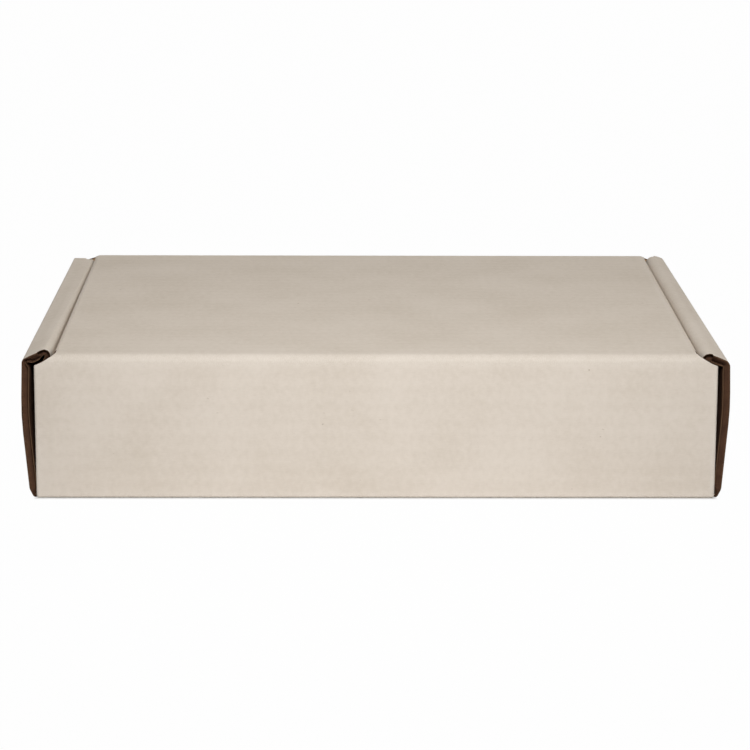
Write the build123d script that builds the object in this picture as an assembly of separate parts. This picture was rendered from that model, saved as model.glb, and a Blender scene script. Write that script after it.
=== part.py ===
from build123d import *
import os
from math import sqrt

# A mailer box folded from one die-cut sheet of single-wall corrugated board, modelled closed.
# Millimetres: +X runs along the hinge, +Y from the hinge wall to the tuck side, +Z up, and the
# origin is the middle of the underside. The sheet is two nodes, because the lid swings: the tray
# (base, hinge wall, front wall, two rolled double side walls, four corner ears) and the lid.

# Board
BOARD = 3.0  # thickness
CREASE_INSIDE = 0.3  # radius on the inside of a crease
CREASE_OUTSIDE = BOARD + CREASE_INSIDE

# Overall sizes, outside
BASE_LENGTH = 266.6  # over the two corner creases of the hinge wall
BASE_DEPTH = 212.0  # hinge wall to front wall
HEIGHT = 57.5  # underside to lid top

# Hinge and front walls
FRONT_WALL_DROP = 1.2  # front wall's raw top edge below the lid top
CORNER_CUT_WIDTH = 7.9  # slanted cut at a wall's top corners
CORNER_CUT_DROP = 4.5

# Corner ears, folded from the ends of the hinge and front walls into the rolled sides
EAR_LENGTH = 75.0
EAR_TAPER = 8.0  # how far the free end leans back, top and bottom
EAR_FOOT_GAP = 4.0  # above the base
EAR_HEAD_GAP = 0.1  # below the spine's outer crease, inside
EAR_PLAY = 0.3  # between an ear and the inner wall beside it
EAR_SLIT = 0.2  # between a corner crease and the raw end of the outer wall

# Rolled side walls: the outer wall bows out of its foot crease
SIDE_FOOT_NIP = 0.2  # how much the foot crease pinches the wall towards the corner ear
SIDE_BELLY_SWELL = 2.3  # widest line outside the foot
SIDE_BELLY_DROP = 14.5  # widest line below the lid top
SIDE_BELLY_RADIUS = 60.0
SIDE_TOP_RETURN = 0.6  # top crease inside the widest line
SPINE_OUTER_DROP = 1.9  # the spine leans out, so its two creases differ in height
SPINE_INNER_DROP = 0.5
SIDE_END_GAP = 1.5  # raw end of the outer wall behind the face of the hinge wall
LINER_END_GAP = 0.7  # raw end of the inner wall to the hinge and front walls
LINER_FOOT_GAP = 0.2  # inner wall to the base it stands on

# Tabs at the foot of the inner wall, in slots through the base
TAB_LENGTH = 30.0
TAB_SPREAD = 90.0  # between the middles of the two tabs of a side
TAB_RECESS = 0.2  # tab end above the underside
SLOT_PLAY = 0.3

# Lid
LID_SIDE_GAP = 0.8  # lid to the inner side walls
LID_FRONT_GAP = 0.7  # lid's front crease to the front wall
HINGE_SLIT = 0.1  # between the two halves of the fold, at its mitre
TUCK_FLOOR_GAP = 7.0  # tuck flap to the base
TUCK_INSET = 1.2  # tuck flap narrower than the lid, each side
TUCK_CORNER = 12.0
TUCK_SWING_GAP = 0.4  # tuck flap to the front wall as it swings past
LID_EAR_FLOOR_GAP = 12.5
LID_EAR_HINGE_GAP = 5.0  # from the inside of the hinge wall
LID_EAR_TUCK_GAP = 3.5  # from the inside of the tuck flap
LID_EAR_TAPER = 10.0
LID_EAR_CORNER = 8.0

# Places that follow
HALF_LENGTH = BASE_LENGTH / 2
HALF_DEPTH = BASE_DEPTH / 2
WALL_INSIDE = HALF_DEPTH - BOARD
EAR_INSIDE = HALF_LENGTH - BOARD
LINER_OUTSIDE = EAR_INSIDE - EAR_PLAY
LINER_INSIDE = LINER_OUTSIDE - BOARD
LINER_END = WALL_INSIDE - LINER_END_GAP
SIDE_END = HALF_DEPTH - SIDE_END_GAP
SIDE_FOOT = HALF_LENGTH + BOARD - SIDE_FOOT_NIP
SIDE_BELLY = SIDE_FOOT + SIDE_BELLY_SWELL
SIDE_TOP = SIDE_BELLY - SIDE_TOP_RETURN
LID_HALF = LINER_INSIDE - LID_SIDE_GAP
LID_FRONT = WALL_INSIDE - LID_FRONT_GAP
ARC_SAGITTA = CREASE_OUTSIDE * (1 - sqrt(0.5))  # fold's outside corner to its arc, in Y and in Z
HINGE_Y = -HALF_DEPTH + ARC_SAGITTA
HINGE_Z = HEIGHT - ARC_SAGITTA
FOLD_TAIL = 2.0  # spare length of a fold past its arc, trimmed at the mitre
TRIM = 15.0  # reach of the mitre's cutting block
SPARE = 5.0  # how far cutting shapes run past what they cut
SIDE_ALIGN = (Align.MIN, Align.CENTER, Align.CENTER)


def inside_line(points):
    """Corners of the board's inside line, a board's thickness to the left of its outside line."""
    corners = [Vector(point) for point in points]
    normals = [(b - a).normalized().rotate(Axis.Z, 90) for a, b in zip(corners, corners[1:])]
    first = corners[0] + normals[0] * BOARD
    last = corners[-1] + normals[-1] * BOARD
    mitres = [(n + m) * (BOARD / (1 + n.dot(m))) for n, m in zip(normals, normals[1:])]
    return [first] + [corner + mitre for corner, mitre in zip(corners[1:], mitres)] + [last]


def bent_board(points, radii):
    """Section of the board, given its outside line and the outside radius of each crease."""
    inside = inside_line(points)
    outer = FilletPolyline(*points, radius=radii)
    inner = FilletPolyline(*inside, radius=[radius - BOARD for radius in radii])
    ends = [Line(points[0], inside[0]), Line(points[-1], inside[-1])]
    return make_face(outer.edges() + inner.edges() + ends)


def extrude_both(face, half):
    """Extrudes a face by half on each side of its plane."""
    return extrude(face, amount=half, both=True)


def both_sides(shape):
    """A shape and its mirror image across the middle of the box."""
    return shape + mirror(shape, about=Plane.YZ)


def both_ends(shape):
    """A shape and its mirror image from the hinge wall to the front wall."""
    return shape + mirror(shape, about=Plane.XZ)


def hinge_trim(side):
    """Block that trims a fold at its mitre: side 1 takes the lid's half away, -1 the tray's."""
    block = Box(BASE_LENGTH + SPARE, TRIM, TRIM, align=(Align.CENTER, Align.CENTER, Align.MIN))
    turned = Rot(X=-45 if side > 0 else 135) * Pos(0, 0, -HINGE_SLIT / 2) * block
    return Pos(0, HINGE_Y, HINGE_Z) * turned


def walls_and_base():
    """Front wall, base and hinge wall as one bent strip, with rounded corner creases."""
    front_top = HEIGHT - FRONT_WALL_DROP
    section = bent_board(
        [
            (-HALF_DEPTH + CREASE_OUTSIDE + FOLD_TAIL, HEIGHT),
            (-HALF_DEPTH, HEIGHT),
            (-HALF_DEPTH, 0),
            (HALF_DEPTH, 0),
            (HALF_DEPTH, front_top),
        ],
        [CREASE_OUTSIDE] * 3,
    )
    strip = extrude_both(Plane.YZ * section, HALF_LENGTH) - hinge_trim(1)
    outline = extrude(RectangleRounded(BASE_LENGTH, BASE_DEPTH, CREASE_OUTSIDE), amount=HEIGHT)
    ears = both_sides(both_ends(corner_ear()))
    sides = both_sides(Pos(LINER_INSIDE) * Box(BASE_LENGTH, 2 * LINER_END, 2 * BOARD, align=SIDE_ALIGN))
    return ((strip + ears) & outline) - sides


def corner_ear():
    """Ear of the hinge wall, on the +X side, still square at the corner."""
    start = -HALF_DEPTH
    foot = BOARD + EAR_FOOT_GAP
    head = HEIGHT - SPINE_OUTER_DROP - BOARD - EAR_HEAD_GAP
    shape = Polyline(
        (start, foot),
        (start + EAR_LENGTH - EAR_TAPER, foot),
        (start + EAR_LENGTH, foot + EAR_TAPER),
        (start + EAR_LENGTH, head - EAR_TAPER),
        (start + EAR_LENGTH - EAR_TAPER, head),
        (start, head),
        close=True,
    )
    return extrude(Plane.YZ.offset(EAR_INSIDE) * make_face(shape), amount=BOARD)


def corner_cut():
    """Prism that takes the slanted top corners off the hinge and front walls, on the +X side."""
    shape = Polyline(
        (HALF_LENGTH - CORNER_CUT_WIDTH, HEIGHT),
        (HALF_LENGTH, HEIGHT - CORNER_CUT_DROP),
        (HALF_LENGTH + SPARE, HEIGHT - CORNER_CUT_DROP),
        (HALF_LENGTH + SPARE, HEIGHT + SPARE),
        (HALF_LENGTH - CORNER_CUT_WIDTH, HEIGHT + SPARE),
        close=True,
    )
    return extrude_both(Plane.XZ * make_face(shape), BASE_DEPTH)


def rolled_side():
    """Rolled side wall on the +X side: bowed outer wall, spine, inner wall and its two tabs."""
    section = bent_board(
        [
            (LINER_INSIDE - BOARD, 0),
            (SIDE_FOOT, 0),
            (SIDE_BELLY, HEIGHT - SIDE_BELLY_DROP),
            (SIDE_TOP, HEIGHT - SPINE_OUTER_DROP),
            (LINER_INSIDE, HEIGHT - SPINE_INNER_DROP),
            (LINER_INSIDE, BOARD + LINER_FOOT_GAP),
        ],
        [CREASE_OUTSIDE, SIDE_BELLY_RADIUS, CREASE_OUTSIDE, CREASE_OUTSIDE],
    )
    roll = extrude_both(Plane.XZ * section, HALF_DEPTH)
    beyond = SIDE_BELLY + SPARE
    ends = Polyline(
        (LINER_INSIDE - BOARD, 0),
        (LINER_INSIDE - BOARD, LINER_END),
        (HALF_LENGTH + EAR_SLIT, LINER_END),
        (HALF_LENGTH + BOARD / 2, SIDE_END),
        (beyond, SIDE_END),
        (beyond, 0),
        close=True,
    )
    reach = both_ends(extrude(make_face(ends), amount=HEIGHT))
    return roll & reach


def tab_places():
    """Middles of the two tabs on the +X side, at the height of the underside."""
    across = (LINER_INSIDE + LINER_OUTSIDE) / 2
    return Locations((across, -TAB_SPREAD / 2, 0), (across, TAB_SPREAD / 2, 0))


def tabs():
    """The two tabs on the +X side, from just above the underside up into the inner wall."""
    tall = 2 * BOARD
    tab = Pos(0, 0, TAB_RECESS) * Box(BOARD, TAB_LENGTH, tall, align=(Align.CENTER, Align.CENTER, Align.MIN))
    return [place * tab for place in tab_places()]


def slots():
    """The cuts through the base for those tabs."""
    slot = Box(BOARD + 2 * SLOT_PLAY, TAB_LENGTH + 2 * SLOT_PLAY, 2 * BOARD)
    return [place * slot for place in tab_places()]


def make_tray():
    """The whole tray, one sheet."""
    tray = walls_and_base() - both_sides(corner_cut())
    tray = tray + both_sides(rolled_side())
    for slot in slots():
        tray = tray - both_sides(slot & Box(BASE_LENGTH, BASE_DEPTH, 2 * BOARD))
    for tab in tabs():
        tray = tray + both_sides(tab)
    return tray


def tuck_end():
    """Y and Z of the tuck flap's free edge, on its outside: it passes the front wall as it swings."""
    low = BOARD + TUCK_FLOOR_GAP
    radius = WALL_INSIDE - HINGE_Y - TUCK_SWING_GAP
    return HINGE_Y + sqrt(radius**2 - (HINGE_Z - low) ** 2), low


def lid_sheet():
    """Lid panel and tuck flap as one bent strip."""
    section = bent_board(
        [
            tuck_end(),
            (LID_FRONT, HEIGHT),
            (-HALF_DEPTH, HEIGHT),
            (-HALF_DEPTH, HEIGHT - CREASE_OUTSIDE - FOLD_TAIL),
        ],
        [CREASE_OUTSIDE] * 2,
    )
    strip = extrude_both(Plane.YZ * section, LID_HALF) - hinge_trim(-1)
    low = tuck_end()[1] - BOARD
    flap = RectangleRounded(2 * (LID_HALF - TUCK_INSET), 2 * (HEIGHT - low), TUCK_CORNER)
    outline = Plane.XZ * (Pos(0, HEIGHT) * flap)
    band = Plane.XZ * (Pos(0, HEIGHT) * Rectangle(2 * LID_HALF, 2 * CREASE_OUTSIDE))
    return strip & extrude_both(outline + band, BASE_DEPTH)


def lid_ear():
    """Ear that hangs from the lid's +X edge, beside the inner wall."""
    low = BOARD + LID_EAR_FLOOR_GAP
    high = HEIGHT - BOARD
    near = -WALL_INSIDE + LID_EAR_HINGE_GAP
    far = LID_FRONT - BOARD - LID_EAR_TUCK_GAP
    shape = FilletPolyline(
        (near, high),
        (near + LID_EAR_TAPER, low),
        (far - LID_EAR_TAPER, low),
        (far, high),
        radius=[LID_EAR_CORNER, LID_EAR_CORNER],
    )
    outline = make_face(shape.edges() + Line((far, high), (near, high)).edges())
    return extrude(Plane.YZ.offset(LID_HALF - BOARD) * outline, amount=BOARD)


def make_lid():
    """The lid with its tuck flap and two ears, one sheet, with rounded side creases."""
    lid = lid_sheet() + both_sides(lid_ear())
    block = RectangleRounded(2 * LID_HALF, 2 * HEIGHT, CREASE_OUTSIDE)
    return lid & extrude_both(Plane.XZ * block, BASE_DEPTH)


os.makedirs("parts", exist_ok=True)
export_step(make_tray(), "parts/tray.step")
export_step(make_lid(), "parts/lid.step")
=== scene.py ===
"""Looks of a folded corrugated mailer box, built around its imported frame.

The box is one sheet of single-wall board: a white-faced outer liner, a fluted medium and a kraft
inner liner. Each sheet is cut flat, scored, given its flutes and bent round its section line, as
the real blank is. What stays with the tray, what swings with the lid and the crease between them
are separate pieces. Lengths are millimetres until a mesh is finished, and metres after that.
"""

import logging
import math
from collections.abc import Callable, Sequence
from dataclasses import dataclass
from enum import Enum

import bmesh
import bpy
from mathutils import Matrix, Vector

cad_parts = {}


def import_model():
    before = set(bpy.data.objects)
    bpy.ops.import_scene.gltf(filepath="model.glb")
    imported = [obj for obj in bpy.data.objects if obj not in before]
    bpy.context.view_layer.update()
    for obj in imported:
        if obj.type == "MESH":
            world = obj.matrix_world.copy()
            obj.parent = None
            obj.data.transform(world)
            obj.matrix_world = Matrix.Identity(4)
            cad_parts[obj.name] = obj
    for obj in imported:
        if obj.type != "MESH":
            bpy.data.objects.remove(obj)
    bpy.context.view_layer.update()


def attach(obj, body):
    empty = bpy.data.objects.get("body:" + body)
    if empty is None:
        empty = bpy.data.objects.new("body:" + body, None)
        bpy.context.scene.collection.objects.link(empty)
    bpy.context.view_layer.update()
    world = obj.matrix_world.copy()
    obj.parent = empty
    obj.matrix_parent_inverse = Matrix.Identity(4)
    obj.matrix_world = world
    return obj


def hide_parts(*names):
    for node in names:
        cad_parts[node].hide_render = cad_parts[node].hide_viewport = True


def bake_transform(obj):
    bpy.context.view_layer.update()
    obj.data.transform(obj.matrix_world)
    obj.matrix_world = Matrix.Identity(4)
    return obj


MM = 0.001
MAP_NAME = "blank"
CREASE_NAME = "crease"
LEAST_GAP = 0.01
WELD_REACH = 1e-4
SHARP_ANGLE = 50
Rgb = tuple[int, int, int]
Pair = tuple[float, float]
Triple = tuple[float, float, float]
log = logging.getLogger("mailer_box")


# ---- Board ----


@dataclass(frozen=True)
class Board:
    """Single-wall board, in millimetres."""

    thickness: float = 3.0
    liner: float = 0.3
    medium: float = 0.24
    flute_pitch: float = 6.4
    steps_per_flute: int = 8
    recess: float = 0.12


@dataclass(frozen=True)
class Bend:
    """A corner of a section line: its place and the outside radius of the crease there."""

    u: float
    v: float
    radius: float = 0.0


@dataclass(frozen=True)
class Cut:
    """A corner of a flat outline: its run, its width and its rounding."""

    run: float
    width: float
    rounding: float = 0.0


@dataclass(frozen=True)
class Slot:
    """A rectangle cut out of a sheet."""

    run: Pair
    width: Pair


class Flutes(Enum):
    """Which way the waves of the medium follow each other."""

    ALONG_THE_RUN = 0
    ACROSS_THE_WIDTH = 1


class View(Enum):
    """Which plane a section line is drawn in; a sheet's width is square to it."""

    FROM_THE_SIDE = "u is y, v is z, width is x"
    FROM_THE_END = "u is x, v is z, width is y"

    def point(self, u: float, v: float, width: float) -> Vector:
        """The point in the box's frame for a place in the section and a width."""
        if self is View.FROM_THE_SIDE:
            return Vector((width, u, v))
        return Vector((u, width, v))


class Face(Enum):
    """Material slots of every piece of board."""

    WHITE = 0
    KRAFT = 1
    CUT = 2
    FLUTE = 3


def smooth_step(share: float) -> float:
    """Eases a share from 0 to 1, held at both ends."""
    share = min(max(share, 0.0), 1.0)
    return share * share * (3 - 2 * share)


@dataclass(frozen=True)
class Span:
    """One straight or round stretch of a section line."""

    start: float
    length: float
    origin: Vector
    direction: Vector
    radius: float = 0.0

    def place(self, run: float, depth: float) -> Vector:
        """The point at a run, a depth to the left of the outside line.

        Args:
            run: place along the section line.
            depth: depth from the outside.

        Returns:
            The point.
        """
        left = Vector((-self.direction.y, self.direction.x))
        if not self.radius:
            return self.origin + self.direction * (run - self.start) + left * depth
        turn = Matrix.Rotation((run - self.start) / self.radius, 2)
        return self.origin + (turn @ -left) * (self.radius - depth)


class SectionLine:
    """Outside line of bent board, with the board to its left and each crease rounded."""

    ARC_STEPS = 8
    EASE = 2.4
    EASE_STEPS = 3
    LONGEST_STEP = 9.0
    COARSER = 3
    LEAST_INSIDE = 0.3
    TIGHTEST_ROUND = 10.0

    def __init__(self, bends: Sequence[Bend], board: Board) -> None:
        """Lays out the spans between the corners, the first and last of which are the ends.

        Args:
            bends: the corners, with both ends.
            board: the board.
        """
        self.board = board
        self.spans: list[Span] = []
        self.length = 0.0
        points = [Vector((bend.u, bend.v)) for bend in bends]
        ways = [(b - a).normalized() for a, b in zip(points, points[1:])]
        trimmed = 0.0
        for index, way in enumerate(ways):
            bend = bends[index + 1]
            last = index == len(ways) - 1
            turn = 0.0 if last else abs(way.angle_signed(ways[index + 1]))
            trim = bend.radius * math.tan(turn / 2)
            straight = (points[index + 1] - points[index]).length - trimmed - trim
            self._add(Span(self.length, straight, points[index] + way * trimmed, way))
            if trim:
                left = Vector((-way.y, way.x))
                centre = points[index + 1] - way * trim + left * bend.radius
                self._add(Span(self.length, bend.radius * turn, centre, way, bend.radius))
            trimmed = trim

    @classmethod
    def longest_step(cls, coarse: bool) -> float:
        """Longest distance between edges across straight board."""
        return cls.LONGEST_STEP * (cls.COARSER if coarse else 1)

    def _add(self, span: Span) -> None:
        """Adds the next span."""
        self.spans.append(span)
        self.length += span.length

    def is_crease(self, span: Span) -> bool:
        """True for a span bent so tightly that its flutes are pressed flat."""
        return 0 < span.radius < self.TIGHTEST_ROUND

    def _share(self, span: Span, run: float) -> float:
        """1 in a crease, easing to 0 beside it."""
        gap = max(span.start - run, run - span.start - span.length, 0.0)
        return 1 - smooth_step(gap / self.EASE)

    def crease_share(self, run: float) -> float:
        """1 in any crease, easing to 0 beside it."""
        creases = [span for span in self.spans if self.is_crease(span)]
        return max((self._share(span, run) for span in creases), default=0.0)

    def press(self, run: float, depth: float) -> float:
        """Depth left at a run, the board being pressed thinner towards its outside in a crease.

        Args:
            run: place along the section line.
            depth: depth from the outside.

        Returns:
            The depth.
        """
        left = 1.0
        for span in self.spans:
            if self.is_crease(span):
                least = min(1.0, (span.radius - self.LEAST_INSIDE) / self.board.thickness)
                left = min(left, 1 - (1 - least) * self._share(span, run))
        return depth * left

    def place(self, run: float, depth: float) -> Vector:
        """The point at a run and a depth."""
        span = next((s for s in self.spans if run <= s.start + s.length), self.spans[-1])
        return span.place(run, depth)

    def folded(self, run: float, depth: float) -> Vector:
        """The point at a run and a depth, pressed thinner in the creases."""
        return self.place(run, self.press(run, depth))

    def matching_run(self, other: "SectionLine", run: float) -> float:
        """The run in this line that matches a run of another line with as many spans."""
        pairs = list(zip(self.spans, other.spans))
        met = (pair for pair in pairs if run <= pair[1].start + pair[1].length)
        mine, theirs = next(met, pairs[-1])
        return mine.start + mine.length * (run - theirs.start) / theirs.length

    def run_of(self, u: float, v: float) -> float:
        """The run at which a straight span passes nearest to a point.

        Args:
            u: across the section.
            v: up the section.

        Returns:
            The run.
        """
        spot = Vector((u, v))
        best = (math.inf, 0.0)
        for span in self.spans:
            if not span.radius:
                along = min(max((spot - span.origin).dot(span.direction), 0.0), span.length)
                gap = (span.origin + span.direction * along - spot).length
                best = min(best, (gap, span.start + along))
        return best[1]

    def first_arc(self) -> Span:
        """The first round span."""
        return next(span for span in self.spans if span.radius)

    def stops(self, coarse: bool = False) -> list[float]:
        """Runs at which a flat sheet needs an edge so that it can bend and ease.

        Args:
            coarse: True for fewer edges.

        Returns:
            The runs, in order.
        """
        marks: set[float] = set()
        for span in self.spans:
            steps = max(1, math.ceil(span.length / self.longest_step(coarse)))
            if self.is_crease(span):
                steps = self.ARC_STEPS // 2 if coarse else self.ARC_STEPS
                for k in range(1, self.EASE_STEPS + 1):
                    off = self.EASE * k / self.EASE_STEPS
                    marks |= {span.start - off, span.start + span.length + off}
            marks |= {span.start + span.length * k / steps for k in range(steps + 1)}
        return sorted(mark for mark in marks if LEAST_GAP < mark < self.length - LEAST_GAP)


@dataclass(frozen=True)
class Wings:
    """Creases square to the run, which fold the ends of a sheet's width inwards.

    Attributes:
        line: section of the width, drawn as width and depth.
        runs: the stretch of the run over which the creases are folded.
    """

    line: SectionLine
    runs: Pair = (-math.inf, math.inf)
    ease: float = 2.5

    def share(self, run: float) -> float:
        """How far the creases are folded at a run, from 0 to 1."""
        gap = max(self.runs[0] - run, run - self.runs[1], 0.0)
        return 1 - smooth_step(gap / self.ease)

    def place(self, run: float, width: float, depth: float) -> Vector:
        """Folded width and depth of a flat place."""
        folded = self.line.place(width + self.line.length / 2, depth)
        return Vector((width, depth)).lerp(folded, self.share(run))


class Sheet:
    """A flat sheet in a bmesh: x is the run, y the width and z the depth from the outside."""

    CORNER_SEGMENTS = 6

    def __init__(self, outline: Sequence[Cut]) -> None:
        """Cuts the sheet to its outline, with rounded corners.

        Args:
            outline: its corners, in order.
        """
        self.mesh = bmesh.new()
        corners = [self.mesh.verts.new((cut.run, cut.width, 0.0)) for cut in outline]
        self.mesh.faces.new(corners)
        rounded = [(corner, cut.rounding) for corner, cut in zip(corners, outline) if cut.rounding]
        for corner, rounding in rounded:
            bmesh.ops.bevel(
                self.mesh,
                geom=[corner],
                offset=rounding,
                offset_type="OFFSET",
                segments=self.CORNER_SEGMENTS,
                profile=0.5,
                affect="VERTICES",
                material=-1,
            )

    def score(self, axis: int, marks: Sequence[float]) -> None:
        """Adds an edge across the sheet at each mark along an axis.

        Args:
            axis: 0 for the run, 1 for the width.
            marks: where the edges go.
        """
        normal = Vector((0, 0, 0))
        normal[axis] = 1.0
        for mark in marks:
            geometry = self.mesh.verts[:] + self.mesh.edges[:] + self.mesh.faces[:]
            cut = {"plane_co": normal * mark, "plane_no": normal}
            bmesh.ops.bisect_plane(self.mesh, geom=geometry, dist=WELD_REACH, **cut)

    def punch(self, slot: Slot) -> None:
        """Cuts a slot out.

        Args:
            slot: the rectangle.
        """
        self.score(0, slot.run)
        self.score(1, slot.width)
        waste = []
        for face in self.mesh.faces:
            spot = face.calc_center_median()
            if slot.run[0] < spot.x < slot.run[1] and slot.width[0] < spot.y < slot.width[1]:
                waste.append(face)
        bmesh.ops.delete(self.mesh, geom=waste, context="FACES")

    def map_blank(self, flutes: Flutes, start: Pair, way: int) -> None:
        """Keeps each corner's place in the whole blank as a map: across the flutes, then along.

        Args:
            flutes: which way the waves follow each other.
            start: where the sheet's run and width of 0 lie in the whole blank.
            way: 1, or -1 where the strip is on the -X side.
        """
        layer = self.mesh.loops.layers.uv.new(MAP_NAME)
        for item in self.mesh.faces:
            for loop in item.loops:
                run, width = (loop.vert.co.x + start[0]) * MM, (loop.vert.co.y + start[1]) * MM
                across, along = (run, width) if flutes is Flutes.ALONG_THE_RUN else (width, run)
                loop[layer].uv = (across, along * way)

    def shape(self, depth_at: Callable[[Vector], float]) -> None:
        """Moves each vertex to its depth."""
        for vert in self.mesh.verts:
            vert.co.z = depth_at(vert.co)

    def thicken(self, thickness: float) -> None:
        """Gives the sheet its thickness, inwards, as a closed shell."""
        faces = self.mesh.faces[:]
        made = bmesh.ops.extrude_face_region(self.mesh, geom=faces, use_keep_orig=True)["geom"]
        moved = [item for item in made if isinstance(item, bmesh.types.BMVert)]
        bmesh.ops.translate(self.mesh, verts=moved, vec=(0, 0, thickness))

    def dress(self, face_of: Callable[[bmesh.types.BMFace], Face]) -> None:
        """Gives each face its material slot."""
        for item in self.mesh.faces:
            item.material_index = face_of(item).value
            item.smooth = True

    def join_to(self, whole: bmesh.types.BMesh) -> None:
        """Adds the sheet to a larger mesh and frees its own.

        Args:
            whole: the mesh that it joins.
        """
        bmesh.ops.recalc_face_normals(self.mesh, faces=self.mesh.faces[:])
        data = bpy.data.meshes.new("sheet")
        self.mesh.to_mesh(data)
        self.mesh.free()
        whole.from_mesh(data)
        bpy.data.meshes.remove(data)


@dataclass(frozen=True)
class Strip:
    """A strip of panels of the blank, creased and bent.

    Attributes:
        name: the name of the piece it makes.
        line: the section line of the run.
        outline: the flat outline, in run and width.
        flutes: which way the waves follow each other.
        start: where the strip's run and width of 0 lie in the whole blank.
        wings: creases that fold the ends of the width.
        slots: rectangles cut out of it.
        far_line: the section line at the far end of the width, where that differs.
        painted_shade_from: the run past which the kraft face, shut in inside the roll, is given the darker
            medium finish as painted shade.
        mirrored: True for a strip on the -X side.
    """

    name: str
    line: SectionLine
    outline: tuple[Cut, ...]
    view: View
    flutes: Flutes
    start: Pair = (0.0, 0.0)
    wings: Wings | None = None
    slots: tuple[Slot, ...] = ()
    far_line: SectionLine | None = None
    painted_shade_from: float = math.inf
    mirrored: bool = False

    def piece(self, materials: Sequence[bpy.types.Material]) -> bpy.types.Object:
        """Builds the strip as an object in metres, at the origin.

        Args:
            materials: the board's finishes, in the order of its material slots.

        Returns:
            The new object: two liners and the medium between them.
        """
        board = self.line.board
        mesh = bmesh.new()
        self._liner(0.0, Face.WHITE).join_to(mesh)
        self._liner(board.thickness - board.liner, Face.KRAFT).join_to(mesh)
        self._medium().join_to(mesh)
        bmesh.ops.scale(mesh, vec=(MM, MM, MM), verts=mesh.verts[:])
        data = bpy.data.meshes.new(self.name)
        mesh.to_mesh(data)
        mesh.free()
        for material in materials:
            data.materials.append(material)
        data.set_sharp_from_angle(angle=math.radians(SHARP_ANGLE))
        piece = bpy.data.objects.new(self.name, data)
        bpy.context.scene.collection.objects.link(piece)
        log.info("piece %s: run %.1f mm, %d faces", self.name, self.line.length, len(data.polygons))
        return piece

    def _width_marks(self, coarse: bool) -> list[float]:
        """Marks across the width for bending and easing.

        Args:
            coarse: True for fewer edges.

        Returns:
            The marks.
        """
        low = min(cut.width for cut in self.outline)
        high = max(cut.width for cut in self.outline)
        if self.wings:
            half = self.wings.line.length / 2
            marks = [mark - half for mark in self.wings.line.stops(coarse)]
        else:
            count = math.ceil((high - low) / SectionLine.longest_step(coarse))
            marks = [low + (high - low) * k / count for k in range(1, count)]
        return [mark for mark in marks if low + LEAST_GAP < mark < high - LEAST_GAP]

    def _liner(self, depth: float, outside: Face) -> Sheet:
        """One liner as a closed shell, bent and placed.

        Args:
            depth: depth from the outside.
            outside: the liner's own slot.

        Returns:
            The bent sheet.
        """
        board = self.line.board
        sheet = Sheet(self.outline)
        sheet.score(0, self.line.stops())
        sheet.score(1, self._width_marks(coarse=False))
        for slot in self.slots:
            sheet.punch(slot)
        sheet.shape(lambda spot: depth)
        sheet.map_blank(self.flutes, self.start, -1 if self.mirrored else 1)
        sheet.thicken(board.liner)
        level = depth if outside is Face.WHITE else depth + board.liner

        def face_of(item: bmesh.types.BMFace) -> Face:
            """The liner's own face, its cut edge, or the medium's darker finish on the glued side and as
            painted shade on the shut-in kraft face.

            Args:
                item: a face of the liner.

            Returns:
                The material slot.
            """
            depths = [vert.co.z for vert in item.verts]
            if max(depths) - min(depths) > board.liner / 2:
                return Face.CUT
            glued = abs(depths[0] - level) > board.liner / 2
            # painted shade: a rolled side's kraft face, shut in past the first bend, takes the darker
            # medium finish
            in_painted_shade = outside is Face.KRAFT and item.calc_center_median().x > self.painted_shade_from
            return Face.FLUTE if glued or in_painted_shade else outside

        sheet.dress(face_of)
        return self._bent(sheet)

    def _medium(self) -> Sheet:
        """The fluted medium as a closed shell, a little short of every cut edge.

        Returns:
            The bent sheet.
        """
        board = self.line.board
        sheet = Sheet(self._drawn_in(board.recess))
        step = board.flute_pitch / board.steps_per_flute
        axis = self.flutes.value
        extent = [(cut.run, cut.width)[axis] for cut in self.outline]
        first = math.floor((min(extent) + self.start[axis]) / step)
        last = math.ceil((max(extent) + self.start[axis]) / step)
        waves = [step * k - self.start[axis] for k in range(first, last + 1)]
        if axis == 0:
            sheet.score(0, waves)
            sheet.score(1, self._width_marks(coarse=True))
        else:
            sheet.score(0, self.line.stops(coarse=True))
            sheet.score(1, waves)
        for slot in self.slots:
            sheet.punch(slot)
        swing = (board.thickness - 2 * board.liner - board.medium) / 2
        turns = 2 * math.pi / board.flute_pitch
        sheet.map_blank(self.flutes, self.start, -1 if self.mirrored else 1)
        sheet.shape(
            lambda spot: board.liner
            + swing * (1 - math.cos(turns * (spot[axis] + self.start[axis])))
        )
        sheet.thicken(board.medium)
        sheet.dress(lambda item: Face.FLUTE)
        return self._bent(sheet)

    def _drawn_in(self, recess: float) -> list[Cut]:
        """The outline with every side moved in by the recess.

        Args:
            recess: how far the sides move.

        Returns:
            The new outline.
        """
        spots = [Vector((cut.run, cut.width)) for cut in self.outline]
        ahead = spots[1:] + spots[:1]
        behind = spots[-1:] + spots[:-1]
        area = sum(a.x * b.y - a.y * b.x for a, b in zip(spots, ahead))
        side = 1 if area > 0 else -1
        moved = []
        for cut, before, spot, after in zip(self.outline, behind, spots, ahead):
            ways = ((spot - before).normalized(), (after - spot).normalized())
            n, m = (Vector((-way.y, way.x)) * side for way in ways)
            spot = spot + (n + m) * (recess / (1 + n.dot(m)))
            moved.append(Cut(spot.x, spot.y, cut.rounding))
        return moved

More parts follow.
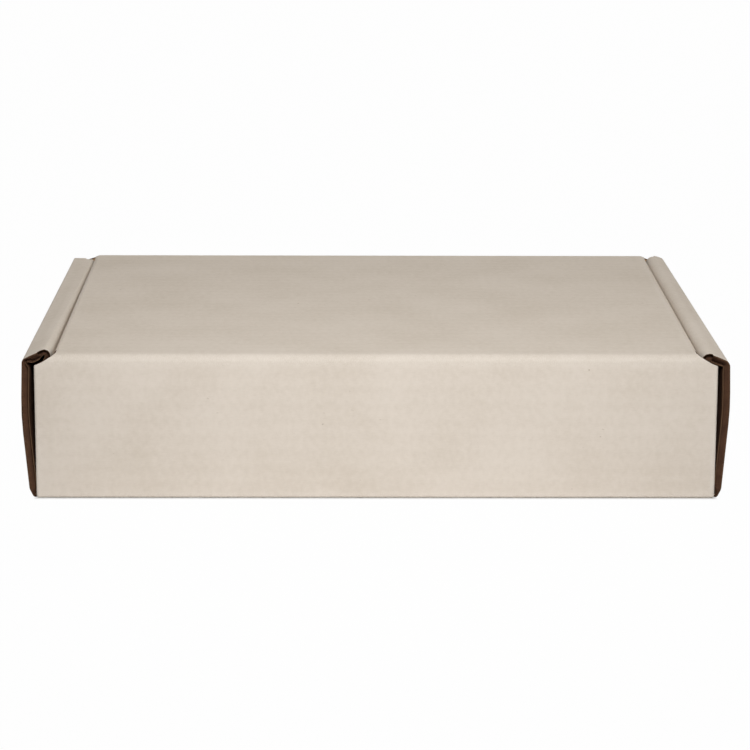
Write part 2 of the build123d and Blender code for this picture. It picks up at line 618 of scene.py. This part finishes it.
    def _bent(self, sheet: Sheet) -> Sheet:
        """Bends a flat sheet round its creases and places it in the box.

        Args:
            sheet: the flat sheet.

        Returns:
            The same sheet, bent.
        """
        mesh = sheet.mesh
        crease = mesh.verts.layers.float.new(CREASE_NAME)
        for vert in mesh.verts:
            run, width, depth = vert.co
            vert[crease] = self.line.crease_share(run)
            if self.wings:
                at = width + self.wings.line.length / 2
                share = self.wings.line.crease_share(at) * self.wings.share(run)
                vert[crease] = max(vert[crease], share)
                depth = self.wings.line.press(at, self.line.press(run, depth))
                width, depth = self.wings.place(run, width, depth)
                spot = self.line.place(run, depth)
            else:
                spot = self._spot(run, width, depth)
            point = self.view.point(spot.x, spot.y, width)
            vert.co = Vector((-point.x if self.mirrored else point.x, point.y, point.z))
        return sheet

    def _spot(self, run: float, width: float, depth: float) -> Vector:
        """Place in the section at a width, between the near section and the far one.

        Args:
            run: place along the section line.
            width: place across the sheet.
            depth: depth from the outside.

        Returns:
            The place.
        """
        near = self.line.folded(run, depth)
        if self.far_line is None:
            return near
        far = self.far_line.folded(self.far_line.matching_run(self.line, run), depth)
        reach = max(cut.width for cut in self.outline)
        return near.lerp(far, (width + reach) / (2 * reach))


# ---- Shader nodes ----


def linear(red: int, green: int, blue: int) -> tuple[float, float, float, float]:
    """Linear colour of a display colour given in steps of 255.

    Args:
        red: red channel.
        green: green channel.
        blue: blue channel.

    Returns:
        The colour with an alpha of 1.
    """

    def lighten(step: int) -> float:
        """One channel."""
        share = step / 255
        return share / 12.92 if share <= 0.04045 else ((share + 0.055) / 1.055) ** 2.4

    return (lighten(red), lighten(green), lighten(blue), 1.0)


class Wire:
    """A value in a node tree, with arithmetic that adds Math nodes."""

    def __init__(self, recipe: "Recipe", socket: bpy.types.NodeSocket) -> None:
        """Wraps an output socket."""
        self.recipe = recipe
        self.socket = socket

    def _math(self, operation: str, *values: "Wire | float") -> "Wire":
        """A Math node on values."""
        inputs = dict(enumerate(values))
        return self.recipe.node("ShaderNodeMath", {"operation": operation}, inputs)

    def __add__(self, other: "Wire | float") -> "Wire":
        """Sum."""
        return self._math("ADD", self, other)

    __radd__ = __add__

    def __mul__(self, other: "Wire | float") -> "Wire":
        """Product."""
        return self._math("MULTIPLY", self, other)

    __rmul__ = __mul__

    def __sub__(self, other: "Wire | float") -> "Wire":
        """Difference."""
        return self._math("SUBTRACT", self, other)

    def __rsub__(self, other: "Wire | float") -> "Wire":
        """Difference from a number."""
        return self._math("SUBTRACT", other, self)

    def cosine(self) -> "Wire":
        """Cosine."""
        return self._math("COSINE", self)

    def size(self) -> "Wire":
        """Value without its sign."""
        return self._math("ABSOLUTE", self)

    def most(self, other: "Wire | float") -> "Wire":
        """The larger of two values."""
        return self._math("MAXIMUM", self, other)

    def between(self, low: float, high: float) -> "Wire":
        """Smooth share from 0 at low to 1 at high, held at both ends."""
        settings = {"interpolation_type": "SMOOTHSTEP"}
        inputs = {"Value": self, "From Min": low, "From Max": high}
        return self.recipe.node("ShaderNodeMapRange", settings, inputs)


class Recipe:
    """The nodes of a material or of the world."""

    def __init__(self, owner: bpy.types.Material | bpy.types.World) -> None:
        """Starts an empty node tree."""
        self.owner = owner
        owner.use_nodes = True
        self.tree = owner.node_tree
        self.tree.nodes.clear()

    def node(
        self,
        kind: str,
        settings: dict[str, object] | None = None,
        inputs: dict[str | int, object] | None = None,
        output: str | int = 0,
    ) -> Wire:
        """Adds a node.

        Args:
            kind: the node's type.
            settings: its properties, set before its sockets.
            inputs: a value or a Wire for each named or numbered socket.
            output: the socket that is returned.

        Returns:
            The output as a Wire.
        """
        made = self.tree.nodes.new(kind)
        for name, value in (settings or {}).items():
            setattr(made, name, value)
        for name, value in (inputs or {}).items():
            if isinstance(value, Wire):
                self.tree.links.new(value.socket, made.inputs[name])
            else:
                made.inputs[name].default_value = value
        return Wire(self, made.outputs[output])

    def blank(self) -> Wire:
        """Place in the flat blank, in metres."""
        return self.node("ShaderNodeUVMap", {"uv_map": MAP_NAME})

    def coordinate(self, place: Wire, axis: int) -> Wire:
        """One coordinate of a place."""
        return self.node("ShaderNodeSeparateXYZ", inputs={0: place}, output=axis)

    def share_of(self, name: str) -> Wire:
        """A share kept on the vertices."""
        return self.node("ShaderNodeAttribute", {"attribute_name": name}, output="Fac")

    def stretched(self, place: Wire, scale: tuple[float, float, float], turn: float = 0.0) -> Wire:
        """A place stretched and turned about the middle of the blank."""
        inputs = {"Vector": place, "Scale": scale, "Rotation": (0.0, 0.0, turn)}
        return self.node("ShaderNodeMapping", inputs=inputs)

    def flute(self, place: Wire, board: Board) -> Wire:
        """Wave of the flutes, from -1 to 1."""
        turns = 2 * math.pi / (board.flute_pitch * MM)
        return (self.coordinate(place, 0) * turns).cosine()

    def noise(self, place: Wire, scale: float, detail: float, rough: float = 0.5) -> Wire:
        """Cloudy pattern around 0.5, with features of about 1 / scale metres."""
        inputs = {"Vector": place, "Scale": scale, "Detail": detail, "Roughness": rough}
        return self.node("ShaderNodeTexNoise", inputs=inputs)

    def mix(self, share: Wire | float, first: object, second: object) -> Wire:
        """Colour between two colours."""
        inputs = {0: share, 6: first, 7: second}
        return self.node("ShaderNodeMix", {"data_type": "RGBA"}, inputs, output=2)

    def bump(self, height: Wire, distance: float, strength: float = 1.0, over: Wire | None = None) -> Wire:
        """Normal that follows a height, over another normal where one is given."""
        inputs = {"Height": height, "Distance": distance, "Strength": strength}
        if over:
            inputs["Normal"] = over
        return self.node("ShaderNodeBump", inputs=inputs)

    def seen(self) -> Wire:
        """1 for what the camera sees, straight, in a gloss or through glass, and 0 for light.

        Returns:
            The share.
        """
        kind = "ShaderNodeLightPath"
        straight = self.node(kind, output="Is Camera Ray")
        glossy = self.node(kind, output="Is Glossy Ray")
        through = self.node(kind, output="Is Transmission Ray")
        return straight.most(glossy).most(through)

    def finish(self, colour: Wire, roughness: Wire, gloss: float, normal: Wire) -> bpy.types.Material:
        """Ends in a Principled surface and returns the material.

        Args:
            colour: base colour.
            roughness: roughness.
            gloss: specular level.
            normal: normal.

        Returns:
            The material.
        """
        inputs = {
            "Base Color": colour,
            "Roughness": roughness,
            "Specular IOR Level": gloss,
            "Normal": normal,
        }
        self.show(self.node("ShaderNodeBsdfPrincipled", inputs=inputs))
        return self.owner

    def show(self, surface: Wire, output: str = "ShaderNodeOutputMaterial") -> None:
        """Joins a surface to the tree's output."""
        made = self.tree.nodes.new(output)
        self.tree.links.new(surface.socket, made.inputs["Surface"])


# ---- Finishes ----


@dataclass(frozen=True)
class WhiteLiner:
    """Bleached liner on the outside of the board, with flutes faintly showing through as bumps and as
    painted shade.
    """

    board: Board
    paper: Rgb = (219, 208, 196)
    shade: Rgb = (207, 195, 181)
    crease_wear_and_highlight_colour: Rgb = (229, 220, 209)
    fleck: Rgb = (150, 128, 104)
    roughness: float = 0.7
    gloss: float = 0.18
    flute_depth: float = 0.00002
    grain_depth: float = 0.00002
    cloud_scale: float = 28.0
    formation_scale: float = 420.0
    fibre_scale: float = 1900.0
    crease_streak_scale: float = 1300.0
    speck_scale: float = 620.0

    def make(self) -> bpy.types.Material:
        """Builds the material.

        Returns:
            The material.
        """
        recipe = Recipe(bpy.data.materials.new("white_liner"))
        place = recipe.blank()
        cloud = recipe.noise(place, self.cloud_scale, 3.0)
        formation = recipe.noise(place, self.formation_scale, 5.0, 0.62)
        fibre = recipe.noise(recipe.stretched(place, (1.0, 0.16, 1.0)), self.fibre_scale, 4.0, 0.6)
        flute = recipe.flute(place, self.board)
        crease = recipe.share_of(CREASE_NAME)
        crease_streaks = recipe.noise(recipe.stretched(place, (1.0, 2.4, 1.0)), self.crease_streak_scale, 4.0, 0.65)
        # part crease wear, part painted highlight: streaks along the creases are lightened towards the
        # crease highlight's colour and sunk a little
        crease_wear_and_highlight = crease * crease_streaks.between(0.45, 0.62)
        tone = (cloud - 0.5) * 0.9 + (formation - 0.5) * 0.75 + (fibre - 0.5) * 0.4
        # painted shade: the liner is darkened a little along the flutes, where its washboard dips
        tone = tone + flute * 0.035
        colour = recipe.mix((tone + 0.32).between(0.0, 0.8), linear(*self.paper), linear(*self.shade))
        colour = recipe.mix(crease_wear_and_highlight * 0.45, colour, linear(*self.crease_wear_and_highlight_colour))
        leant = recipe.stretched(place, (1.0, 0.45, 1.0), 0.7)
        specks = recipe.noise(leant, self.speck_scale, 2.0)
        colour = recipe.mix(specks.between(0.735, 0.79) * 0.55, colour, linear(*self.fleck))
        height = (formation - 0.5) * 0.7 + (fibre - 0.5) * 0.5 + crease_wear_and_highlight * -0.8
        grain = recipe.bump(height, self.grain_depth, 0.8)
        normal = recipe.bump(flute, self.flute_depth, over=grain)
        return recipe.finish(colour, formation * 0.2 + (self.roughness - 0.1), self.gloss, normal)


@dataclass(frozen=True)
class KraftLiner:
    """Brown liner on the inside of the board, with fibres and flecks."""

    board: Board
    paper: Rgb = (184, 148, 108)
    shade: Rgb = (158, 122, 85)
    dark_fibre: Rgb = (112, 82, 54)
    pale_fibre: Rgb = (208, 178, 140)
    roughness: float = 0.82
    gloss: float = 0.25
    flute_depth: float = 0.00005
    grain_depth: float = 0.00005
    cloud_scale: float = 22.0
    formation_scale: float = 360.0
    fibre_scale: float = 900.0
    cross_fibre_scale: float = 820.0

    def make(self) -> bpy.types.Material:
        """Builds the material.

        Returns:
            The material.
        """
        recipe = Recipe(bpy.data.materials.new("kraft_liner"))
        place = recipe.blank()
        cloud = recipe.noise(place, self.cloud_scale, 4.0, 0.55)
        formation = recipe.noise(place, self.formation_scale, 5.0, 0.65)
        along = recipe.stretched(place, (1.0, 0.22, 1.0), 0.35)
        threads = recipe.noise(along, self.fibre_scale, 3.0, 0.55)
        across = recipe.stretched(place, (0.25, 1.0, 1.0), 0.6)
        other = recipe.noise(across, self.cross_fibre_scale, 3.0, 0.55)
        flute = recipe.flute(place, self.board)
        # random tone, plus painted shade a little darker along the flutes, where the liner dips
        tone = (cloud - 0.5) * 0.9 + (formation - 0.5) * 0.8 - flute * 0.06
        colour = recipe.mix((tone + 0.45).between(0.0, 1.0), linear(*self.paper), linear(*self.shade))
        colour = recipe.mix(threads.between(0.62, 0.72) * 0.5, colour, linear(*self.dark_fibre))
        colour = recipe.mix(other.between(0.62, 0.72) * 0.45, colour, linear(*self.pale_fibre))
        grain = recipe.bump(formation * 0.6 + threads * 0.5 + other * 0.4, self.grain_depth, 0.8)
        normal = recipe.bump(flute * -1.0, self.flute_depth, over=grain)
        return recipe.finish(colour, formation * 0.16 + (self.roughness - 0.08), self.gloss, normal)


@dataclass(frozen=True)
class RawPaper:
    """Paper with no facing: the cut edges of both liners, or the fluted medium."""

    name: str
    paper: Rgb
    shade: Rgb
    roughness: float = 0.9
    gloss: float = 0.15
    grain_depth: float = 0.00012
    coarse_scale: float = 260.0
    fine_scale: float = 2400.0

    def make(self) -> bpy.types.Material:
        """Builds the material.

        Returns:
            The material.
        """
        recipe = Recipe(bpy.data.materials.new(self.name))
        place = recipe.node("ShaderNodeTexCoord", output="Object")
        coarse = recipe.noise(place, self.coarse_scale, 3.0, 0.6)
        fine = recipe.noise(place, self.fine_scale, 4.0, 0.65)
        tone = (coarse - 0.5) * 0.9 + (fine - 0.5) * 1.1
        colour = recipe.mix((tone + 0.5).between(0.0, 1.0), linear(*self.paper), linear(*self.shade))
        normal = recipe.bump(coarse * 0.4 + fine, self.grain_depth, 0.9)
        return recipe.finish(colour, fine * 0.12 + (self.roughness - 0.06), self.gloss, normal)


def board_materials(board: Board) -> list[bpy.types.Material]:
    """The board's finishes, in the order of its material slots.

    Args:
        board: the board.

    Returns:
        The materials.
    """
    finishes = [
        WhiteLiner(board),
        KraftLiner(board),
        # Both raw finishes are darker than the kraft face: partly the paper's own colour, partly painted
        # shade of the recessed, shut-in edges.
        RawPaper("cut_edge", (108, 83, 60), (80, 58, 42)),
        RawPaper("fluted_medium", (102, 72, 53), (74, 51, 38)),
    ]
    return [finish.make() for finish in finishes]


# ---- The box ----


def both_halves(half: Sequence[Cut]) -> tuple[Cut, ...]:
    """An outline from its half on the positive side of the width, mirrored."""
    other = [Cut(cut.run, -cut.width, cut.rounding) for cut in reversed(half)]
    return tuple(half) + tuple(other)


def wall_strip(name: str, line: SectionLine, half: Sequence[Cut], start: float, wings: Wings) -> Strip:
    """A strip whose section is seen from the side, from half of its outline."""
    side, flutes = View.FROM_THE_SIDE, Flutes.ALONG_THE_RUN
    return Strip(name, line, both_halves(half), side, flutes, (start, 0.0), wings)


@dataclass(frozen=True)
class BoxSizes:
    """Sizes that the sub-assemblies share, in millimetres."""

    half_length: float = 133.3
    half_depth: float = 106.0
    height: float = 57.5
    hinge_crease: float = 3.3
    crease: float = 1.0
    base_seam: float = 120.0
    hinge_seam_height: float = 52.5
    lid_seam_depth: float = 98.0
    liner_end: float = 102.3
    lid_edge: float = 125.0
    hinge_lean: float = 0.45
    lean_foot: float = 44.0
    first_flute: float = 4.2


@dataclass(frozen=True)
class HingeFold:
    """The crease that joins the lid to the hinge wall, with the wall's slanted top corners."""

    board: Board
    sizes: BoxSizes
    corner_cut_drop: float = 4.8
    corner_cut_shares: tuple[float, ...] = (0.3, 0.55, 0.8, 1.0)
    blend_reach: float = 1.4

    def line(self) -> SectionLine:
        """Section line from the lid down to the hinge wall.

        Returns:
            The section line.
        """
        s = self.sizes
        slope = s.hinge_lean / (s.hinge_seam_height - s.lean_foot)
        bends = (
            Bend(-s.lid_seam_depth, s.height),
            Bend(-s.half_depth + slope * (s.height - s.lean_foot), s.height, s.hinge_crease),
            Bend(-s.half_depth + s.hinge_lean, s.hinge_seam_height),
        )
        return SectionLine(bends, self.board)

    def strip(self) -> Strip:
        """The crease's strip of board.

        Returns:
            The strip.
        """
        s = self.sizes
        line = self.line()
        wings = corner_wings(self.board, s, 2 * self.board.thickness)
        arc = line.first_arc()
        cuts = [Cut(0.0, s.lid_edge), Cut(arc.start, s.lid_edge)]
        for share in self.corner_cut_shares:
            run = arc.start + arc.length * share
            drop = s.height - line.place(run, 0.0).y
            across = s.lid_edge + drop * (s.half_length - s.lid_edge) / self.corner_cut_drop
            cuts.append(Cut(run, corner_width(s, across)))
        cut_foot = arc.start + arc.length + self.corner_cut_drop - s.hinge_crease
        cuts.append(Cut(cut_foot, corner_width(s, s.half_length)))
        cuts.append(Cut(line.length, corner_width(s, s.half_length)))
        start = s.first_flute - line.length
        return wall_strip("hinge_fold", line, cuts, start, wings)

    def build(self, materials: Sequence[bpy.types.Material]) -> bpy.types.Object:
        """Builds the fold, the crease between the tray and the lid, baked in place and left on no body.

        Args:
            materials: the board's finishes.

        Returns:
            The new object.
        """
        piece = self.strip().piece(materials)
        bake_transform(piece)
        return piece


def corner_width(sizes: BoxSizes, across: float) -> float:
    """Flat width at which a corner crease's outside reaches a distance across the box.

    Args:
        sizes: the box's sizes.
        across: distance from the middle.

    Returns:
        The flat width.
    """
    start = sizes.half_length - sizes.crease
    if across <= start:
        return across
    share = min((across - start) / sizes.crease, 1.0)
    return start + sizes.crease * math.asin(share)


def corner_wings(board: Board, sizes: BoxSizes, reach: float) -> Wings:
    """The two corner creases of a wall, with wings of a given reach.

    Args:
        board: the board.
        sizes: the box's sizes.
        reach: length of the wings.

    Returns:
        The wings.
    """
    bends = (
        Bend(-sizes.half_length, reach),
        Bend(-sizes.half_length, 0.0, sizes.crease),
        Bend(sizes.half_length, 0.0, sizes.crease),
        Bend(sizes.half_length, reach),
    )
    return Wings(SectionLine(bends, board))


class BoardPart:
    """A part of the box that is one strip of board and rides on one body."""

    BODY = "tray"

    def strip(self) -> Strip:
        """The part's strip of board."""
        raise NotImplementedError

    def build(self, materials: Sequence[bpy.types.Material]) -> bpy.types.Object:
        """Builds the part, which stands for its body's plain shape.

        Args:
            materials: the board's finishes.

        Returns:
            The new object.
        """
        piece = self.strip().piece(materials)
        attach(piece, self.BODY)
        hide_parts(self.BODY)
        return piece


@dataclass(frozen=True)
class TrayBlank(BoardPart):
    """Hinge wall, base and front wall with their four corner ears, one strip."""

    board: Board
    sizes: BoxSizes
    lean_round: float = 90.0
    front_top: float = 56.3
    front_cut_width: float = 124.0
    corner_cut_foot: float = 53.2
    ear_length: float = 75.0
    ear_taper: float = 8.0
    ear_foot: float = 7.0
    ear_rounding: float = 2.0

    def line(self) -> SectionLine:
        """Section line from the hinge seam under the base to the top of the front wall.

        Returns:
            The section line.
        """
        s = self.sizes
        bends = (
            Bend(-s.half_depth + s.hinge_lean, s.hinge_seam_height),
            Bend(-s.half_depth, s.lean_foot, self.lean_round),
            Bend(-s.half_depth, 0.0, s.crease),
            Bend(s.half_depth, 0.0, s.crease),
            Bend(s.half_depth, self.front_top),
        )
        return SectionLine(bends, self.board)

    def strip(self) -> Strip:
        """The blank's strip of board.

        Returns:
            The strip.
        """
        s = self.sizes
        line = self.line()
        wings = corner_wings(self.board, s, self.ear_length)
        corner = corner_width(s, s.half_length)
        tip = wings.line.length / 2
        shoulder = tip - self.ear_taper
        near_base = line.run_of(-s.liner_end, 0.0)
        far_base = line.run_of(s.liner_end, 0.0)

        def ear(start: float, end: float) -> list[Cut]:
            """The free end of a corner ear that lies between two runs."""
            taper = self.ear_taper
            spots = ((start, shoulder), (start + taper, tip), (end - taper, tip), (end, shoulder))
            return [Cut(run, width, self.ear_rounding) for run, width in spots]

        hinge_foot = line.run_of(-s.half_depth, self.ear_foot)
        front_foot = line.run_of(s.half_depth, self.ear_foot)
        front_seam = line.run_of(s.half_depth, s.hinge_seam_height)
        half = [
            *ear(0.0, hinge_foot),
            Cut(hinge_foot, corner),
            Cut(near_base, corner),
            Cut(near_base, s.base_seam),
            Cut(far_base, s.base_seam),
            Cut(far_base, corner),
            Cut(front_foot, corner),
            *ear(front_foot, front_seam),
            Cut(front_seam, corner),
            Cut(line.run_of(s.half_depth, self.corner_cut_foot), corner),
            Cut(line.length, self.front_cut_width),
        ]
        return wall_strip("tray_blank", line, half, s.first_flute, wings)


@dataclass(frozen=True)
class SideShape:
    """How a rolled side stands at one of its ends, as corners of its outside line.

    Attributes:
        belly: the outer wall's widest place.
        top: the crease between the outer wall and the spine.
        spine: the crown of the spine.
        shoulder: the crease between the spine and the inner wall.
    """

    belly: Bend
    top: Bend
    spine: Bend
    shoulder: Bend


@dataclass(frozen=True)
class RolledSide(BoardPart):
    """A rolled double side wall: outer wall, spine, inner wall and its tabs in the base."""

    board: Board
    sizes: BoxSizes
    name: str
    mirrored: bool
    blank_middle: float
    near: SideShape
    far: SideShape
    foot: tuple[Bend, Bend] = (Bend(134.5, 0.0, 1.2), Bend(136.1, 3.3, 4.0))
    liner_face: float = 127.0
    liner_foot: float = 3.2
    outer_end: float = 104.5
    foot_step: Pair = (133.35, 133.45)
    spine_step: Pair = (131.4, 132.4)
    tab_length: float = 30.0
    tab_middle: float = 45.0
    tab_foot: float = 0.2
    tab_rounding: float = 1.0
    slot_play: float = 0.3

    def line(self, shape: SideShape) -> SectionLine:
        """Section line from the base, up the outer wall and down the inner wall.

        Args:
            shape: how the side stands at one end.

        Returns:
            The section line.
        """
        bends = (
            Bend(self.sizes.base_seam, 0.0),
            *self.foot,
            shape.belly,
            shape.top,
            shape.spine,
            shape.shoulder,
            Bend(self.liner_face, self.tab_foot),
        )
        return SectionLine(bends, self.board)

    def strip(self) -> Strip:
        """The side's strip of board.

        Returns:
            The strip.
        """
        s = self.sizes
        line = self.line(self.near)
        foot = line.run_of(self.liner_face, self.liner_foot)
        half = [
            Cut(0.0, s.liner_end),
            Cut(line.run_of(self.foot_step[0], 0.0), s.liner_end),
            Cut(line.run_of(self.foot_step[1], 0.0), self.outer_end),
            Cut(line.run_of(self.spine_step[1], s.height), self.outer_end),
            Cut(line.run_of(self.spine_step[0], s.height), s.liner_end),
            Cut(foot, s.liner_end),
        ]
        for way in (1, -1):
            edge = self.tab_middle + way * self.tab_length / 2
            pair = [Cut(foot, edge), Cut(line.length, edge, self.tab_rounding)]
            half += pair[::way]
        across = (self.liner_face - s.base_seam, self.liner_face + self.board.thickness - s.base_seam)
        reach = self.tab_length / 2 + self.slot_play
        slots = tuple(
            Slot(
                (across[0] - self.slot_play, across[1] + self.slot_play),
                (way * self.tab_middle - reach, way * self.tab_middle + reach),
            )
            for way in (-1, 1)
        )
        return Strip(
            self.name,
            line,
            both_halves(half),
            View.FROM_THE_END,
            Flutes.ACROSS_THE_WIDTH,
            (s.base_seam, self.blank_middle),
            slots=slots,
            far_line=self.line(self.far),
            # painted shade on the kraft face inside the roll, from its first bend on
            painted_shade_from=line.first_arc().start,
            mirrored=self.mirrored,
        )


@dataclass(frozen=True)
class Lid(BoardPart):
    """Lid panel with its tuck flap and its two hanging ears, one strip, which swings."""

    BODY = "lid"

    board: Board
    sizes: BoxSizes
    blank_start: float
    half: float = 126.4
    side_crease: float = 2.6
    corner_edge: float = 126.8
    crease_end: float = 3.0
    front: float = 102.3
    front_crease: float = 2.0
    tuck_free: Pair = (97.31, 10.0)
    tuck_half: float = 124.0
    tuck_rounding: float = 12.0
    tuck_step: float = 1.5
    ear_drop: float = 42.0
    ear_front: float = 95.8
    ear_taper: float = 10.0
    ear_rounding: float = 8.0

    def line(self) -> SectionLine:
        """Section line from the tuck flap's free edge over the lid to the hinge seam.

        Returns:
            The section line.
        """
        s = self.sizes
        bends = (
            Bend(*self.tuck_free),
            Bend(self.front, s.height, self.front_crease),
            Bend(-s.lid_seam_depth, s.height),
        )
        return SectionLine(bends, self.board)

    def strip(self) -> Strip:
        """The lid's strip of board.

        Returns:
            The strip.
        """
        s = self.sizes
        line = self.line()
        arc = line.first_arc()
        arc_end = arc.start + arc.length
        ears = (line.run_of(self.ear_front, s.height), line.length - self.crease_end)
        bends = (
            Bend(-self.half, self.ear_drop),
            Bend(-self.half, 0.0, self.side_crease),
            Bend(self.half, 0.0, self.side_crease),
            Bend(self.half, self.ear_drop),
        )
        wings = Wings(SectionLine(bends, self.board), (arc_end, ears[1]))
        tip = wings.line.length / 2
        half = [
            Cut(0.0, self.tuck_half, self.tuck_rounding),
            Cut(arc.start - self.tuck_step, self.tuck_half),
            Cut(arc.start, s.lid_edge),
            Cut(arc_end, self.corner_edge),
            Cut(ears[0], self.corner_edge),
            Cut(ears[0] + self.ear_taper, tip, self.ear_rounding),
            Cut(ears[1] - self.ear_taper, tip, self.ear_rounding),
            Cut(ears[1], s.lid_edge),
            Cut(line.length, s.lid_edge),
        ]
        return wall_strip("lid_blank", line, half, self.blank_start - line.length, wings)


# ---- Studio ----


@dataclass(frozen=True)
class Lamp:
    """A soft lamp, in metres and watts: square, or round and pooled where it has a cone."""

    name: str
    place: Triple
    size: float
    power: float
    tint: Triple = (1.0, 1.0, 1.0)
    cone: float = 0.0
    aim: Triple = (0.0, 0.0, 0.03)

    def build(self) -> None:
        """Hangs the lamp."""
        data = bpy.data.lights.new(self.name, "SPOT" if self.cone else "AREA")
        if self.cone:
            data.shadow_soft_size = self.size / 2
            data.spot_size = math.radians(self.cone)
            data.spot_blend = 1.0
        else:
            data.shape = "SQUARE"
            data.size = self.size
        data.energy = self.power
        data.color = self.tint
        lamp = bpy.data.objects.new(self.name, data)
        lamp.location = self.place
        toward = Vector(self.aim) - Vector(self.place)
        lamp.rotation_euler = toward.to_track_quat("-Z", "Y").to_euler()
        bpy.context.scene.collection.objects.link(lamp)


@dataclass(frozen=True)
class Studio:
    """Plain pale floor, soft lamps, a white surround and the camera."""

    lamps: tuple[Lamp, ...] = (
        Lamp("key_lamp", (0.06, -1.0, 0.72), 0.25, 44.0, (0.96, 0.98, 1.0), 34.0, (0.0, -0.06, 0.05)),
        Lamp("fill_lamp", (0.2, -1.8, 1.3), 1.4, 3.0),
        Lamp("back_lamp", (0.6, 1.9, 1.4), 1.6, 8.6, (1.0, 0.94, 0.81)),
        Lamp("top_lamp", (0.0, -0.15, 0.85), 0.4, 0.45, (1.0, 0.93, 0.8)),
    )
    surround_light: float = 0.17
    surround_tint: tuple[float, float, float, float] = (1.0, 0.965, 0.91, 1.0)
    white: tuple[float, float, float, float] = (1.0, 1.0, 1.0, 1.0)
    floor_half: float = 12.0
    floor_glow: float = 0.985
    floor_paper: Rgb = (212, 211, 209)
    footprint: Pair = (0.132, 0.1055)
    contact_reach: float = 0.0028
    camera_place: Triple = (-0.0163, -1.181, 0.3028)
    lens: float = 136.2
    sensor_width: float = 36.0
    yaw: float = 0.836
    pitch: float = 13.246
    roll: float = 0.257

    def build(self) -> None:
        """Builds everything round the box."""
        bpy.context.scene.view_settings.view_transform = "Standard"
        self._floor()
        self._surround()
        for lamp in self.lamps:
            lamp.build()
        self._camera()

    def _floor(self) -> None:
        """Lays the floor just under the box."""
        mesh = bmesh.new()
        bmesh.ops.create_grid(mesh, x_segments=1, y_segments=1, size=self.floor_half)
        data = bpy.data.meshes.new("floor")
        mesh.to_mesh(data)
        mesh.free()
        data.materials.append(self._floor_material())
        floor = bpy.data.objects.new("floor", data)
        bpy.context.scene.collection.objects.link(floor)

    def _floor_material(self) -> bpy.types.Material:
        """Pale paper sweep, lifted to white for the camera except where the box touches it.

        Returns:
            The material.
        """
        recipe = Recipe(bpy.data.materials.new("pale_sweep"))
        paper = recipe.node("ShaderNodeBsdfDiffuse", inputs={"Color": linear(*self.floor_paper)})
        glow = recipe.node("ShaderNodeEmission", inputs={"Color": self.white})
        place = recipe.node("ShaderNodeTexCoord", output="Object")
        beside = recipe.coordinate(place, 0).size() - self.footprint[0]
        before = recipe.coordinate(place, 1).size() - self.footprint[1]
        clear = beside.most(before).between(0.0, self.contact_reach)
        share = recipe.seen() * clear * self.floor_glow
        recipe.show(recipe.node("ShaderNodeMixShader", inputs={0: share, 1: paper, 2: glow}))
        return recipe.owner

    def _surround(self) -> None:
        """White to look at, and a soft even light on the box."""
        world = bpy.data.worlds.new("surround")
        bpy.context.scene.world = world
        recipe = Recipe(world)
        seen = recipe.seen()
        inputs = {
            "Color": recipe.mix(seen, self.surround_tint, self.white),
            "Strength": seen * (1.0 - self.surround_light) + self.surround_light,
        }
        recipe.show(recipe.node("ShaderNodeBackground", inputs=inputs), "ShaderNodeOutputWorld")

    def _camera(self) -> None:
        """Sets up the camera."""
        data = bpy.data.cameras.new("camera")
        data.lens = self.lens
        data.sensor_width = self.sensor_width
        camera = bpy.data.objects.new("camera", data)
        turn = (
            Matrix.Rotation(math.radians(-self.yaw), 4, "Z")
            @ Matrix.Rotation(math.radians(90 - self.pitch), 4, "X")
            @ Matrix.Rotation(math.radians(self.roll), 4, "Z")
        )
        camera.matrix_world = Matrix.Translation(self.camera_place) @ turn
        bpy.context.scene.collection.objects.link(camera)
        bpy.context.scene.camera = camera


def side_shape(*bends: Triple) -> SideShape:
    """A side's shape from its four corners, each a place and a radius."""
    return SideShape(*(Bend(*corner) for corner in bends))


def rolled_sides(board: Board, sizes: BoxSizes, middle: float) -> tuple[RolledSide, RolledSide]:
    """The two rolled sides, each settled out of true in its own way.

    Args:
        board: the board they are made of.
        sizes: the box's sizes.
        middle: run of the blank at the middle of the base.

    Returns:
        The left side and the right side.
    """
    left = (
        side_shape((138.75, 33.0, 120.0), (138.0, 55.25, 2.0), (133.2, 57.65, 25.0), (127.0, 60.0, 2.4)),
        side_shape((137.5, 36.0, 120.0), (136.4, 55.35, 0.9), (131.5, 55.3, 40.0), (127.0, 55.1, 1.1)),
    )
    right = (
        side_shape((138.6, 36.0, 120.0), (138.0, 54.6, 3.0), (132.5, 57.0, 18.0), (127.0, 58.6, 3.2)),
        side_shape((136.4, 36.0, 120.0), (135.3, 55.4, 1.4), (132.6, 56.6, 12.0), (127.0, 57.3, 3.2)),
    )
    return (
        RolledSide(board, sizes, "rolled_side_left", True, middle, *left),
        RolledSide(board, sizes, "rolled_side_right", False, middle, *right),
    )


def build_box() -> None:
    """Builds every piece of the box."""
    board = Board()
    sizes = BoxSizes()
    materials = board_materials(board)
    fold = HingeFold(board, sizes)
    fold.build(materials)
    Lid(board, sizes, sizes.first_flute - fold.line().length).build(materials)
    blank = TrayBlank(board, sizes)
    blank.build(materials)
    middle = blank.line().run_of(0.0, 0.0) + sizes.first_flute
    for side in rolled_sides(board, sizes, middle):
        side.build(materials)


def corners(box: tuple[Vector, Vector]) -> list[list[float]]:
    """A box's two corners as plain lists."""
    return [list(corner) for corner in box]


def main() -> None:
    """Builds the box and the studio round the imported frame."""
    logging.basicConfig(level=logging.INFO, format="%(name)s: %(message)s")
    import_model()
    build_box()
    Studio().build()


if __name__ == "__main__":
    main()
